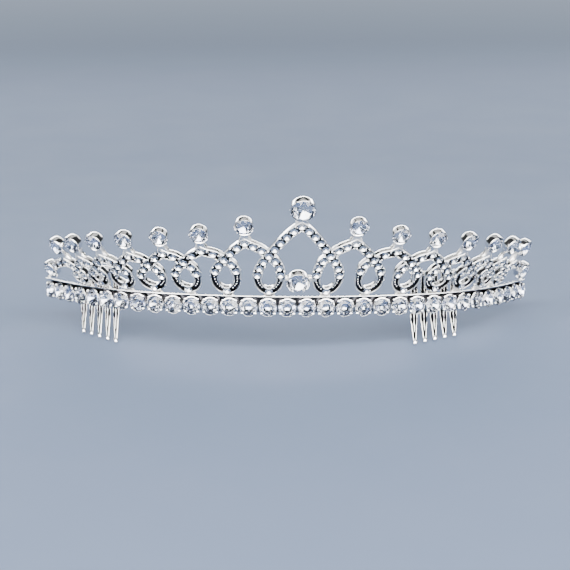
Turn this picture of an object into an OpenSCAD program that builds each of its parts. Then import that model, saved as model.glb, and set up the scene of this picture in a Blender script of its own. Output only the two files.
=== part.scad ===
// Rhinestone tiara with fifteen pointed arches on a curved band of cup set stones.
// The tiara is drawn as it is worn, with its band level, and is then leant back on its combs, as it rests.
// A place on it is given by s, the distance along the band from its middle, h, the distance up the wall from
// the middle of the band, and out, the distance in front of the wall's middle surface.

/* [Head band] */
// Number of stones along the head band
band_stones = 32; // [28:2:32]
// Distance between the centres of neighbouring band stones
stone_pitch = 5.0; // [4.9:0.05:5.2]
// Radius of the front arc of the band, seen from above
front_radius = 94; // [85:1:110]
// Length of the front arc on each side of the middle
front_length = 36; // [32:1:40]
// Radius of the side arc of the band
side_radius = 53; // [48:1:60]
// Length of the side arc
side_length = 31; // [28:1:34]
// Radius of the nearly straight end of the band
end_radius = 250; // [150:10:400]
// Outer diameter of a band cup
band_cup_d = 5.0; // [4.8:0.05:5.0]
// Depth of a band cup, from back to rim
band_cup_depth = 2.2; // [1.8:0.1:2.6]
// Width of the flat strip that the cups are soldered to
strip_height = 3.4; // [3:0.1:4]
// Thickness of the flat strips
strip_thick = 0.6; // [0.5:0.05:0.8]

/* [Wall of arches] */
// Forward lean of the band itself, in degrees
band_lean = 3; // [0:1:8]
// Forward lean of the wall of arches above the band, in degrees
wall_lean = 34; // [28:1:38]
// Width of a stone channel
channel_w = 2.4; // [2.3:0.05:2.5]
// Depth of a stone channel, from back to front
channel_depth = 2.0; // [1.8:0.1:2.4]
// Thickness of a channel's side walls
channel_side = 0.18; // [0.15:0.01:0.2]
// Depth of the groove that the small stones sit in
groove_depth = 0.8; // [0.6:0.05:1]

/* [Arches] */
// Number of arches on each side of the middle one
side_arches = 7; // [6:1:7]
// Distance from the middle arch to its neighbours
first_step = 12.8; // [12:0.1:13.4]
// Distance from the second arch to the third
second_step = 10.4; // [10:0.1:10.6]
// How much shorter each further step is
step_less = 0.8; // [0.6:0.05:0.85]
// Height of the middle top stone up the wall
crown_h = 32.5; // [30:0.5:34]
// Height of the second arch's top stone
second_h = 26.8; // [25:0.5:28]
// Height of the third arch's top stone
third_h = 23.8; // [23:0.1:24.5]
// How much lower each further top stone is
height_less = 1.45; // [1:0.05:1.6]
// Drop from a top stone's centre to the peak of its arch
peak_drop = 5.4; // [5.2:0.1:5.8]

/* [Loops] */
// Height of the crossing beside the middle arch
first_cross_h = 17.2; // [16.5:0.1:18]
// Height of the next crossing
second_cross_h = 15.6; // [15:0.1:16]
// How much lower each further crossing is
cross_less = 1.35; // [1.1:0.05:1.4]
// Height of the bottom of each loop
loop_bottom_h = 5.2; // [5:0.1:5.6]
// Widest half width of a loop, between the middles of its channels
loop_half_w = 2.9; // [2.7:0.05:3]

/* [Stones] */
// Outer diameter of the middle top cup
crown_cup_d = 6.8; // [6.4:0.1:7]
// Outer diameter of the other top cups
top_cup_d = 5.1; // [4.8:0.1:5.2]
// Outer diameter of the cup between the two middle loops
centre_cup_d = 6.2; // [6:0.1:6.4]
// Depth of a top cup
top_cup_depth = 2.4; // [2.2:0.1:2.6]
// Depth of the two larger cups
large_cup_depth = 2.8; // [2.6:0.1:3]
// Diameter of a small stone in a channel
small_stone_d = 1.8; // [1.6:0.05:1.8]
// Height of a small stone
small_stone_h = 0.75; // [0.6:0.05:0.9]
// Least distance between small stones along a channel
small_pitch = 2.45; // [2.4:0.05:2.8]

/* [Combs] */
// Place of the left comb's middle along the band
left_comb_s = -58.5; // [-60:0.5:-56]
// Place of the right comb's middle along the band
right_comb_s = 40; // [39:0.5:43]
// Number of teeth on a comb
comb_teeth = 5; // [4:1:6]
// Distance between the teeth
tooth_pitch = 3.2; // [3:0.1:3.4]
// Thickness of the comb wire
comb_wire_d = 0.6; // [0.5:0.05:0.65]
// Height of the comb's top above the middle of the band
comb_top_z = 8; // [6:0.5:9]
// Forward slope of the teeth below the band, in degrees
tooth_slope = 30; // [24:1:34]

/* [Rest] */
// How far the band leans back as the tiara rests on its combs, in degrees
rest_tilt = 8; // [7:0.5:10]
// How much higher its left side stands, because the left comb is longer, in degrees
rest_roll = 1.4; // [0:0.1:2]
// Height of the band's middle above the surface, at its front
rest_lift = 12; // [11.6:0.1:12.6]
// Distance from the band's front to the middle of the footprint
rest_back = 11.2; // [9:0.1:13]
// Distance that brings the middle of the footprint below the tiara's own middle
rest_side = -0.1; // [-1:0.1:1]

/* [Hidden] */
top_count = 2 * side_arches + 1;

metal = "silver";
stone = "aliceblue";

// Where the wall of arches bends forward from the band
bend_h = 3;
// Height of the underside of the rail on top of the band's cups, and its thickness. Its top stays below the bend.
rail_h = band_cup_d / 2 + 0.04;
rail_t = 0.45;
// Back of the band's strip
strip_back = band_cup_depth / 2 - 0.2 + strip_thick;
// Clear gap round and under every stone
gap = 0.12;
// Height of a stone's crown and depth of its pavilion, for each millimetre of its diameter
stone_crown = 0.2;
stone_pavilion = 0.3;
// Wall of a cup, and its floor
cup_side = 0.22;
cup_floor = 0.6;
cup_sides = 10;
// Depth of a channel where it ends inside another, as a share of its full depth
cut_thin = 0.92;
// How far a leg's small stones are moved up it, away from the crossing
leg_shift = 0.1;
// Where a comb's teeth bend forward, and the diameter of their round tips
bend_z = -3.5;
tip_d = 2.5 * comb_wire_d;
// Half length of the band's strips, a little past the last cups
band_half = band_stones / 2 * stone_pitch + 0.4;
// Crossing beside the middle arch
first_cross_s = 7.3;
end_s = top_s(side_arches) + 10.2;
end_h = 7.4;
centre_h = 8.4;
// Places of a channel's back, front and groove floor, in front of the wall's middle surface
back_out = -channel_depth / 2;
front_out = channel_depth / 2;
groove_out = front_out - groove_depth;

function top_name(i) = str("top_stone_", i < 10 ? "0" : "", i);

// The plan of the band: three arcs that follow each other, as length and radius
arcs = [[front_length, front_radius], [side_length, side_radius], [1000, end_radius]];

// Walks the arcs and gives x, y and the angle there
function walk(left, i = 0, p = [0, 0, 0]) =
    let (t = min(left, arcs[i][0]), r = arcs[i][1], b = p[2] + t / r * 180 / PI)
    let (q = [p[0] + r * (sin(b) - sin(p[2])), p[1] + r * (cos(p[2]) - cos(b)), b])
    left > t ? walk(left - t, i + 1, q) : q;

function plan(s) = let (q = walk(abs(s))) s < 0 ? [-q[0], q[1], -q[2]] : q;

function lean_at(h) = h > bend_h ? wall_lean : band_lean;

// How far the wall stands in front of the plan at height h, and how high that is
function reach(h) = min(h, bend_h) * sin(band_lean) + max(h - bend_h, 0) * sin(wall_lean);
function rise(h) = min(h, bend_h) * cos(band_lean) + max(h - bend_h, 0) * cos(wall_lean);

function wall(s, h, out = 0) =
    let (p = plan(s), lean = lean_at(h), r = reach(h) + out * cos(lean))
    [p[0] + r * sin(p[2]), p[1] - r * cos(p[2]), rise(h) - out * sin(lean)];

// How much longer than s the wall is at height h, because it leans outward
function stretch(s, h) = 1 + max(reach(h), 0) / (abs(s) < front_length ? front_radius : side_radius);

// Arches are numbered from 0 in the middle to side_arches at each end
function top_s(k) = k == 0 ? 0 : first_step + (k - 1) * second_step - step_less * (k - 1) * (k - 2) / 2;
function top_h(k) = k == 0 ? crown_h : k == 1 ? second_h : third_h - height_less * (k - 2);
function peak_h(k) = top_h(k) - peak_drop;

// Crossing and loop number k lie between arch k and arch k + 1
function cross_s(k) = k == 0 ? first_cross_s : (top_s(k) + top_s(k + 1)) / 2;
function cross_h(k) = k == 0 ? first_cross_h : second_cross_h - cross_less * (k - 1);
function loop_w(k) = min(loop_half_w, (top_s(k + 1) - top_s(k) - channel_w - 0.5) / 2);
function side_h(k) = loop_bottom_h + 0.38 * (cross_h(k) - loop_bottom_h);

function unit(v) = v / norm(v);

// Points of a Bezier curve from a to d, without the first one
function curve(a, b, c, d, n) =
    [for (i = [1:n]) let (t = i / n, u = 1 - t) u^3 * a + 3 * u^2 * t * b + 3 * u * t^2 * c + t^3 * d];

// One channel runs from the bottom of a loop up to the peak of arch k and down to the bottom of the next loop.
// dir is 1 for its half towards the band's end and -1 for the half towards its middle.
function loop_of(k, dir) = dir > 0 ? k : k - 1;
function mid_s(k) = k < 0 ? -cross_s(0) : cross_s(k);
function peak(k) = [top_s(k), peak_h(k)];
function crossing(k) = [mid_s(k), cross_h(max(k, 0))];
function side_point(k, dir) = let (j = loop_of(k, dir)) [mid_s(j) + dir * loop_w(max(j, 0)), side_h(max(j, 0))];
function cross_way(k, dir) =
    let (c = crossing(loop_of(k, dir))) unit(2 * unit(c - peak(k)) + unit(side_point(k, dir) - c));
function count(a, b, step) = max(round(norm(b - a) / step), 1);

// How far a loop's side point lies from the crossing above it
function far(k, dir) = norm(side_point(k, dir) - crossing(loop_of(k, dir)));

// A channel is straight for a little way on both sides of a crossing, above it for way = 1 and below it for -1
function beside(k, dir, way) =
    crossing(loop_of(k, dir)) - way * cross_way(k, dir) * (way > 0 ? 1.9 : min(1.9, far(k, dir) / 2));

function leg(k, dir) =
    let (a = peak(k), c = beside(k, dir, 1), reach_l = norm(c - a) / 3)
    curve(a, a + unit([dir, -0.8]) * reach_l, c - cross_way(k, dir) * reach_l, c, count(a, c, 2.6));

function upper_side(k, dir, n) =
    let (c = crossing(loop_of(k, dir)), d = side_point(k, dir), reach_l = norm(d - c) / 3)
    curve(c, c + cross_way(k, dir) * reach_l, d + [0, reach_l], d, n);

function lower_side(k, dir, n) =
    let (j = loop_of(k, dir), w = loop_w(max(j, 0)), d = side_point(k, dir), e = [mid_s(j), loop_bottom_h])
    curve(d, d - [0, 0.55 * (d[1] - e[1])], e + [dir * 0.55 * w, 0], e, n);

// The last arch's outer leg ends on the end stone's cup
end_leg = let (a = peak(side_arches), e = [end_s - 1, end_h + 1])
    curve(a, a + [1.6, -0.5], e - [1.6, -0.8], e, 3);

function whole_side(k, dir) =
    concat([beside(k, dir, -1)], upper_side(k, dir, far(k, dir) > 6 ? 2 : 1), lower_side(k, dir, 4));
function reversed(v) = [for (i = [len(v) - 1:-1:0]) v[i]];
function but_last(v) = [for (i = [0:len(v) - 2]) v[i]];

// Where arch k's inner channel is cut short beside the channel that it crosses. way is 1 above the crossing
// and -1 below it.
function cut_across(k) = let (w = cross_way(k - 1, 1), v = cross_way(k, -1)) w / abs(w[0] * v[1] - w[1] * v[0]);
function cut_point(k, way) =
    let (w = cross_way(k - 1, 1), v = cross_way(k, -1), t = (channel_w / 2 - channel_side / 2) / abs(w[0] * v[1] - w[1] * v[0]))
    crossing(k - 1) - way * v * t;

// A plain wire from the end stone's cup down to the end of the band
end_wire = let (a = [end_s + 1.2, end_h - 2], e = [band_half - 0.6, rail_h + 0.2])
    concat([a], curve(a, a + [2.2, -0.8], e + [0.9, 1.6], e, 4));

// The way across a path at point i, longer at a corner so that the width stays the same
function across(path, i, first, last) =
    let (n = len(path), p = path[i], m = stretch(p[0], p[1]))
    i == 0 && first ? first : i == n - 1 && last ? last :
    let (u = i > 0 ? flat(p - path[i - 1], m) : flat(path[1] - p, m), v = i < n - 1 ? flat(path[i + 1] - p, m) : u)
    let (d = unit(u + v), c = max(d * u, 0.6)) [-d[1] / m, d[0]] / c;
function flat(v, m) = unit([v[0] * m, v[1]]);

// Sweeps a section along points [s, h]. Each corner of the section is given as distance across and out,
// and first and last can give the way across at the two ends. Such an end is a little thinner, so that it
// stays inside the channel that it is soldered to.
module sweep(path, section, caps, side, first, last) {
    n = len(path);
    c = len(section);
    points = [for (i = [0:n - 1])
        let (a = across(path, i, first, last), thin = (i == 0 && first) || (i == n - 1 && last) ? cut_thin : 1)
        for (q = section) wall(side * (path[i][0] + q[0] * a[0]), path[i][1] + q[0] * a[1], q[1] * thin)];
    quads = [for (i = [0:n - 2]) for (j = [0:c - 1])
        [c * i + j, c * i + (j + 1) % c, c * i + c + (j + 1) % c, c * i + c + j]];
    halves = [for (q = quads) each [[q[0], q[1], q[2]], [q[0], q[2], q[3]]]];
    ends = concat([for (f = caps) reversed(f)], [for (f = caps) [for (v = f) v + c * (n - 1)]]);
    faces = concat(halves, ends);
    polyhedron(points, side < 0 ? faces : [for (f = faces) reversed(f)]);
}

// A bar of width w across the path and from out[0] to out[1] in depth
module bar(path, w, out, side = 1) {
    sweep(path, [[-w / 2, out[0]], [w / 2, out[0]], [w / 2, out[1]], [-w / 2, out[1]]], [[0, 1, 2, 3]], side);
}

// A channel: a bar with a groove along its front
module channel(path, side, first, last) {
    w = channel_w / 2;
    t = w - channel_side;
    sweep(path, [[-w, back_out], [w, back_out], [w, front_out], [t, front_out], [t, groove_out], [-t, groove_out],
        [-t, front_out], [-w, front_out]], [[0, 1, 4, 5], [1, 2, 3, 4], [5, 6, 7, 0]], side, first, last);
}

// Puts its children on the wall, with their z axis pointing out of it and their y axis up it
module seat(s, h, out = 0) {
    translate(wall(s, h, out)) rotate([0, 0, plan(s)[2]]) rotate([90 + lean_at(h), 0, 0]) children();
}

// Leans the whole tiara back on its combs and lifts it onto the surface
module rest() {
    translate([rest_side, -rest_back, rest_lift]) rotate([-rest_tilt, rest_roll, 0]) children();
}

module cup(d, depth) {
    rotate(180 / cup_sides) translate([0, 0, -depth / 2]) cylinder(h = depth, d = d, $fn = cup_sides);
}

module cup_pocket(d, depth) {
    rotate(22.5) translate([0, 0, cup_floor - depth / 2]) cylinder(h = depth, d = d - 2 * cup_side, $fn = 8);
}

// Stone diameter that leaves the gap inside a cup
function stone_in(d) = d - 2 * cup_side - 2 * gap / cos(22.5);

// A round brilliant cut: a table, a crown of sixteen facets, a girdle and a pointed pavilion
module cut_stone(d) {
    r = d / 2;
    points = concat([for (i = [0:7]) [0.56 * r * cos(45 * i), 0.56 * r * sin(45 * i), stone_crown * d]],
        [for (i = [0:7]) [r * cos(45 * i + 22.5), r * sin(45 * i + 22.5), 0]], [[0, 0, -stone_pavilion * d]]);
    faces = concat([[for (i = [7:-1:0]) i]], [for (i = [0:7]) [i, (i + 1) % 8, 8 + i]],
        [for (i = [0:7]) [8 + (i + 7) % 8, i, 8 + i]], [for (i = [0:7]) [8 + i, 8 + (i + 1) % 8, 16]]);
    hull() polyhedron(points, faces);
}

// A small flat backed stone with a table and twelve facets
module small_stone() {
    r = small_stone_d / 2;
    points = concat([for (i = [0:5]) [0.6 * r * cos(60 * i + 30), 0.6 * r * sin(60 * i + 30), small_stone_h]],
        [for (i = [0:5]) [r * cos(60 * i), r * sin(60 * i), 0]]);
    faces = concat([[5, 4, 3, 2, 1, 0], [6, 7, 8, 9, 10, 11]], [for (i = [0:5]) [i, (i + 1) % 6, 6 + (i + 1) % 6]],
        [for (i = [0:5]) [(i + 5) % 6, i, 6 + i]]);
    hull() polyhedron(points, faces);
}

// Sets a stone in the cup of diameter d and depth, so that its pavilion is clear of the cup's floor
module stone_in_cup(s, h, d, depth) {
    size = stone_in(d);
    seat(s, h, cup_floor - depth / 2 + gap + stone_pavilion * size) cut_stone(size);
}

module top_stone(i) {
    k = i - side_arches - 1;
    middle = k == 0;
    color(stone) rest() stone_in_cup(sign(k) * top_s(abs(k)), top_h(abs(k)), middle ? crown_cup_d : top_cup_d,
        middle ? large_cup_depth : top_cup_depth);
}

module centre_stone() {
    color(stone) rest() stone_in_cup(0, centre_h, centre_cup_d, large_cup_depth);
}

module end_stone(side) {
    color(stone) rest() stone_in_cup(side * end_s, end_h, top_cup_d, top_cup_depth);
}

module band_stones(side) {
    color(stone) rest() for (i = [1:band_stones / 2])
        stone_in_cup(side * (i - 0.5) * stone_pitch, 0, band_cup_d, band_cup_depth);
}

// Lengths along a path up to each of its points, and the point at a given length
function gap_to(a, b) = norm([(b[0] - a[0]) * stretch(a[0], a[1]), b[1] - a[1]]);
function lengths(path, i = 0, t = 0) =
    i == len(path) - 1 ? [t] : concat([t], lengths(path, i + 1, t + gap_to(path[i], path[i + 1])));
function place(path, t) =
    let (l = lengths(path), i = max([for (j = [0:len(l) - 2]) if (l[j] <= t) j]), f = (t - l[i]) / (l[i + 1] - l[i]))
    path[i] + (path[i + 1] - path[i]) * f;

module on_channel(p, side) {
    seat(side * p[0], p[1], groove_out + gap) small_stone();
}

// Small stones at even steps along a leg, a little towards its peak, with none at its two ends
module leg_stones(path, side) {
    l = lengths(path)[len(path) - 1];
    n = max(floor(l / small_pitch), 2);
    for (i = [1:n - 1]) on_channel(place(path, l * i / n - leg_shift), side);
}

// Small stones from a crossing down the side of a loop, to just past half way
module side_stones(path, side) {
    l = lengths(path)[len(path) - 1];
    n = floor((l * 0.55 - 0.3) / small_pitch);
    for (i = [1:n]) on_channel(place(path, i * small_pitch), side);
}

module small_stones(side) {
    color(stone) rest() {
        for (k = [0:side_arches]) if (k > 0 || side > 0) on_channel(peak(k), side);
        leg_stones(concat([peak(side_arches)], but_last(end_leg)), side);
        for (k = [0:side_arches - 1]) {
            on_channel(crossing(k), side);
            on_channel([cross_s(k), loop_bottom_h], side);
            for (dir = [-1, 1]) {
                arch = dir > 0 ? k : k + 1;
                leg_stones(concat([peak(arch)], leg(arch, dir), [crossing(k)]), side);
                side_stones(concat([crossing(k)], whole_side(arch, dir)), side);
            }
        }
    }
}

module cups() {
    for (side = [-1, 1]) {
        for (i = [1:band_stones / 2]) seat(side * (i - 0.5) * stone_pitch, 0) cup(band_cup_d, band_cup_depth);
        for (k = [1:side_arches]) seat(side * top_s(k), top_h(k)) cup(top_cup_d, top_cup_depth);
        seat(side * end_s, end_h) cup(top_cup_d, top_cup_depth);
    }
    seat(0, top_h(0)) cup(crown_cup_d, large_cup_depth);
    seat(0, centre_h) cup(centre_cup_d, large_cup_depth);
}

module pockets() {
    for (side = [-1, 1]) {
        for (i = [1:band_stones / 2])
            seat(side * (i - 0.5) * stone_pitch, 0) cup_pocket(band_cup_d, band_cup_depth);
        for (k = [1:side_arches]) seat(side * top_s(k), top_h(k)) cup_pocket(top_cup_d, top_cup_depth);
        seat(side * end_s, end_h) cup_pocket(top_cup_d, top_cup_depth);
    }
    seat(0, top_h(0)) cup_pocket(crown_cup_d, large_cup_depth);
    seat(0, centre_h) cup_pocket(centre_cup_d, large_cup_depth);
}

// From the peak of arch k down its outer leg, round loop k and up to below the crossing
function round_loop(k) = concat(leg(k, 1), whole_side(k, 1), reversed(but_last(whole_side(k + 1, -1))),
    [cut_point(k + 1, -1)]);

// A channel starts beside the one that it crosses, and ends below its own crossing
module arch(k, side) {
    inner = concat([cut_point(k, 1)], reversed(leg(k, -1)), [peak(k)]);
    last = k == side_arches;
    channel(concat(inner, last ? end_leg : round_loop(k)), side, -cut_across(k), last ? undef : -cut_across(k + 1));
}

module channels() {
    for (side = [-1, 1]) for (k = [1:side_arches]) arch(k, side);
    half = round_loop(0);
    end = -cut_across(1);
    channel(concat([for (p = reversed(half)) [-p[0], p[1]]], [peak(0)], half), 1, [-end[0], end[1]], end);
}

// Flat strip behind the cups, with a rail along its top that covers them
module band_strips() {
    along = concat([-band_half], [for (i = [1 - band_stones / 2:band_stones / 2 - 1]) i * stone_pitch], [band_half]);
    front = strip_thick - strip_back;
    low = -strip_height / 2;
    sweep([for (s = along) [s, 0]], [[low, -strip_back], [rail_h + rail_t, -strip_back],
        [rail_h + rail_t, band_cup_depth / 2 - 0.2], [rail_h, band_cup_depth / 2 - 0.2], [rail_h, front], [low, front]],
        [[0, 1, 4, 5], [1, 2, 3, 4]], 1);
}

// Tapered piece of metal between two heights, with its width at each
module taper(s, high, high_w, low, low_w) {
    out = [back_out + 0.15, groove_out - 0.15];
    points = [for (q = [[high, high_w / 2], [low, low_w / 2]]) for (c = [[-1, 0], [1, 0], [1, 1], [-1, 1]])
        wall(s + c[0] * q[1], q[0], out[c[1]])];
    hull() polyhedron(points, [[0, 1, 2, 3], [7, 6, 5, 4], [1, 0, 4, 5], [2, 1, 5, 6], [3, 2, 6, 7], [0, 3, 7, 4]]);
}

// Neck between a top cup and the peak of its arch
module neck(k, side) {
    d = k == 0 ? crown_cup_d : top_cup_d;
    taper(side * top_s(k), top_h(k) - d / 2 + 0.4, 1.7, peak_h(k) + 0.8, 2.8);
}

// Foot between the bottom of a loop and the rail
module foot(k, side) {
    taper(side * cross_s(k), loop_bottom_h - channel_w / 2 + 0.15, 2.4, rail_h + rail_t - 0.1, 3.3);
}

module frame() {
    color(metal) rest() difference() {
        union() {
            band_strips();
            cups();
            channels();
            for (side = [-1, 1]) {
                for (k = [0:side_arches]) neck(k, side);
                for (k = [0:side_arches - 1]) foot(k, side);
                bar(end_wire, 0.8, [-0.5, 0.3], side);
            }
            seat(0, centre_h + 0.4, -0.3) cube([2 * (first_cross_s - loop_half_w), 1.4, 0.9], center = true);
        }
        pockets();
    }
}

// A comb of folded wire that stands behind the band, its teeth sloping forward to the surface.
// Each tooth is a pair of wires that come together in a round tip.
module comb(s) {
    half = (comb_teeth - 1) / 2 * tooth_pitch;
    back = strip_back + 1.1;
    t = plan(s);
    color(metal) rest() translate([t[0], t[1], 0]) rotate([0, 0, t[2]]) {
        wire([-half - tooth_pitch / 2, back, comb_top_z], [half + tooth_pitch / 2, back, comb_top_z], comb_wire_d * 1.4);
        for (i = [0:comb_teeth - 1]) tooth(-half + i * tooth_pitch, back, t);
    }
}

// A straight round wire between two points
module wire(a, b, d) {
    v = b - a;
    translate(a) rotate([0, acos(v[2] / norm(v)), atan2(v[1], v[0])]) rotate(90) cylinder(h = norm(v), d = d, $fn = 32);
}

module ball(p, d) {
    translate(p) rotate([90, 0, 30]) sphere(d = d, $fn = 32);
}

// Height above the surface of a point of the band's own frame
function above_floor(p) =
    (p[2] * cos(rest_tilt) - p[1] * sin(rest_tilt)) * cos(rest_roll) - p[0] * sin(rest_roll) + rest_lift;

// Turns a point beside the comb at plan place t into the band's own frame
function turned(p, t) =
    [t[0] + p[0] * cos(t[2]) - p[1] * sin(t[2]), t[1] + p[0] * sin(t[2]) + p[1] * cos(t[2]), p[2]];

// One tooth, whose tip slopes straight forward, whichever way the comb faces, until it touches the surface
module tooth(x, back, t) {
    fall = [-sin(t[2]) * tan(tooth_slope), -cos(t[2]) * tan(tooth_slope), -1];
    bend = [x, back, bend_z];
    high = above_floor(turned(bend, t));
    tip = bend + fall * (high - tip_d / 2) / (high - above_floor(turned(bend + fall, t)));
    for (e = [-1, 1]) {
        foot = bend + [e * tooth_pitch * 0.28, 0, 0];
        wire([foot[0], back, comb_top_z], foot, comb_wire_d);
        ball(foot, comb_wire_d * 1.12);
        wire(foot, tip + [e * 0.62 * comb_wire_d, 0, 0], comb_wire_d);
    }
    ball(tip, tip_d);
}

module comb_left() {
    comb(left_comb_s);
}

module comb_right() {
    comb(right_comb_s);
}

frame();
band_stones(-1);  // band_stones_left
band_stones(1);  // band_stones_right
small_stones(-1);  // small_stones_left
small_stones(1);  // small_stones_right
centre_stone();
end_stone(-1);  // end_stone_left
end_stone(1);  // end_stone_right
comb_left();
comb_right();
for (i = [1:top_count]) top_stone(i);
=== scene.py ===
"""Rhinestone tiara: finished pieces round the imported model, with its stage."""

import math
from types import SimpleNamespace

import bpy
from bpy.props import FloatProperty, FloatVectorProperty, IntProperty, PointerProperty
from mathutils import Matrix, Vector


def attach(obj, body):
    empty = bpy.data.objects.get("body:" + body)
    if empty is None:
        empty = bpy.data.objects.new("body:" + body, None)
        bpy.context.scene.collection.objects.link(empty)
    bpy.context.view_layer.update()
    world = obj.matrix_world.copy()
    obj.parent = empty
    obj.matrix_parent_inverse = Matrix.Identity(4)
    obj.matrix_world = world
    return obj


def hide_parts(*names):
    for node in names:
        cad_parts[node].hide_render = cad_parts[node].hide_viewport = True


bl_info = {
    "name": "Rhinestone Tiara",
    "version": (1, 0, 0),
    "blender": (4, 5, 0),
    "location": "View3D > Sidebar > Tiara",
    "description": "Finishes a silver tiara of pointed arches set with cut stones",
    "category": "Add Mesh",
}

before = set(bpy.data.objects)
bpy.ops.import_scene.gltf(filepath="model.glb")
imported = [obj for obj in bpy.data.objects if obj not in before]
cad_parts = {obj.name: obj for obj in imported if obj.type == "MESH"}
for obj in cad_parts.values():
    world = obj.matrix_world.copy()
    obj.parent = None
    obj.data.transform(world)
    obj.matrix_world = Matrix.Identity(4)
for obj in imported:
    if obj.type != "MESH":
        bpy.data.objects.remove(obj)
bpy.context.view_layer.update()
MM = 0.001


# Settings


def mm(name, value, description):
    return FloatProperty(name=name, description=description, default=value * MM, unit="LENGTH", precision=5)


def degrees(name, value, description):
    return FloatProperty(name=name, description=description, default=math.radians(value), unit="ROTATION")


def watts(name, value, description):
    return FloatProperty(name=name, description=description, default=value, unit="POWER")


def count(name, value, least, description):
    return IntProperty(name=name, description=description, default=value, min=least)


def colour(name, value, description):
    return FloatVectorProperty(name=name, description=description, default=value, subtype="COLOR", min=0, max=1)


class TiaraBand(bpy.types.PropertyGroup):
    """Sizes of the head band"""

    stones: count("Stones", 32, 2, "Number of stones along the band")
    pitch: mm("Pitch", 5.0, "Distance between neighbouring band stones")
    front_radius: mm("Front radius", 94, "Radius of the front arc, seen from above")
    front_length: mm("Front length", 36, "Length of the front arc on each side of the middle")
    side_radius: mm("Side radius", 53, "Radius of the side arc")
    side_length: mm("Side length", 31, "Length of the side arc")
    end_radius: mm("End radius", 250, "Radius of the nearly straight end")
    band_lean: degrees("Lean", 3, "Forward lean of the band")
    band_cup: mm("Cup width", 5.0, "Outer diameter of a band cup")
    band_cup_depth: mm("Cup depth", 2.2, "Depth of a band cup")
    strip_height: mm("Strip height", 3.4, "Width of the flat strip behind the cups")
    strip_thick: mm("Strip thickness", 0.6, "Thickness of the flat strip")
    rail_thick: mm("Rail thickness", 0.45, "Thickness of the rail on top of the cups")


class TiaraArches(bpy.types.PropertyGroup):
    """Sizes of the wall of arches"""

    side_arches: count("Side arches", 7, 1, "Arches on each side of the middle one")
    wall_lean: degrees("Lean", 34, "Forward lean of the wall above the band")
    channel_w: mm("Channel width", 2.4, "Width of a stone channel")
    channel_depth: mm("Channel depth", 2.0, "Depth of a stone channel")
    bare_less: mm("Bare narrowing", 0.3, "How much narrower each edge of a channel is below its small stones")
    groove_depth: mm("Groove depth", 0.8, "Depth of the groove that holds the small stones")
    first_step: mm("First step", 12.8, "Distance from the middle arch to its neighbours")
    second_step: mm("Second step", 10.4, "Distance from the second arch to the third")
    step_less: mm("Step change", 0.8, "How much shorter each further step is")
    crown_h: mm("Crown height", 32.5, "Height of the middle top stone up the wall")
    second_h: mm("Second height", 26.8, "Height of the second arch's top stone")
    third_h: mm("Third height", 23.8, "Height of the third arch's top stone")
    height_less: mm("Height change", 1.45, "How much lower each further top stone is")
    peak_drop: mm("Peak drop", 5.4, "Drop from a top stone's centre to its arch's peak")
    first_cross_s: mm("First crossing", 7.3, "Distance of the first crossing from the middle")
    first_cross_h: mm("First crossing height", 17.2, "Height of the crossing beside the middle arch")
    second_cross_h: mm("Second crossing height", 15.6, "Height of the next crossing")
    cross_less: mm("Crossing change", 1.35, "How much lower each further crossing is")
    loop_bottom_h: mm("Loop bottom", 5.2, "Height of the bottom of each loop")
    loop_half_w: mm("Loop half width", 2.9, "Widest half width of a loop")


class TiaraStones(bpy.types.PropertyGroup):
    """Sizes of the cups and stones of the wall"""

    crown_cup: mm("Crown cup", 6.8, "Outer diameter of the middle top cup")
    top_cup: mm("Top cup", 5.1, "Outer diameter of the other top cups")
    centre_cup: mm("Centre cup", 6.2, "Outer diameter of the cup between the middle loops")
    top_cup_depth: mm("Top cup depth", 2.4, "Depth of a top cup")
    large_cup_depth: mm("Large cup depth", 2.8, "Depth of the two larger cups")
    small_stone: mm("Small stone", 2.06, "Diameter of a small stone in a channel")
    small_stone_h: mm("Small stone height", 0.75, "Height of a small stone")
    small_pitch: mm("Small stone pitch", 2.45, "Least distance between small stones")


class TiaraCombs(bpy.types.PropertyGroup):
    """Sizes of the two side combs"""

    left_s: mm("Left comb", -58.5, "Place of the left comb's middle along the band")
    right_s: mm("Right comb", 40, "Place of the right comb's middle along the band")
    teeth: count("Teeth", 5, 2, "Teeth on a comb")
    tooth_pitch: mm("Tooth pitch", 3.2, "Distance between the teeth")
    wire: mm("Wire", 0.6, "Thickness of the comb wire")
    comb_top: mm("Comb top", 8, "Height of the comb's top above the middle of the band")
    bend_z: mm("Bend height", -3.5, "Height at which the teeth bend forward")
    tooth_slope: degrees("Tooth slope", 30, "Forward slope of the teeth below the band")


class TiaraRest(bpy.types.PropertyGroup):
    """How the tiara stands on its combs"""

    tilt: degrees("Tilt", 8, "How far the band leans back")
    roll: degrees("Roll", 1.4, "How much higher its left side stands")
    lift: mm("Lift", 12, "Height of the band's middle above the surface")
    back: mm("Back", 11.2, "Distance from the band's front to the middle of the footprint")
    side: mm("Side", -0.1, "Sideways shift to the middle of the footprint")


class TiaraFinish(bpy.types.PropertyGroup):
    """Colours of the metal and the stones, with painted shade for the hollows and a painted blue reflection in the
    foil
    """

    silver: colour("Silver", (0.94, 0.93, 0.91), "Polished silver plate")
    silver_dark: colour("Worn silver", (0.62, 0.62, 0.66), "Plate that has lost its polish")
    # This colour is painted shade: it darkens the grooves, the strip under the rail and the front of the comb webs.
    recess: colour("Recess", (0.035, 0.035, 0.04), "Painted shade at the bottom of the grooves")
    foil: colour("Foil", (0.95, 0.95, 0.96), "Silver foil behind a stone")
    # The foil tint is a painted reflection: a cool blue put into random facets of the silver foil.
    foil_blue: colour("Foil tint", (0.60, 0.65, 0.82), "Painted blue reflection in some facets")
    glass: colour("Glass", (0.97, 0.985, 1.0), "Clear cut glass")


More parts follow.
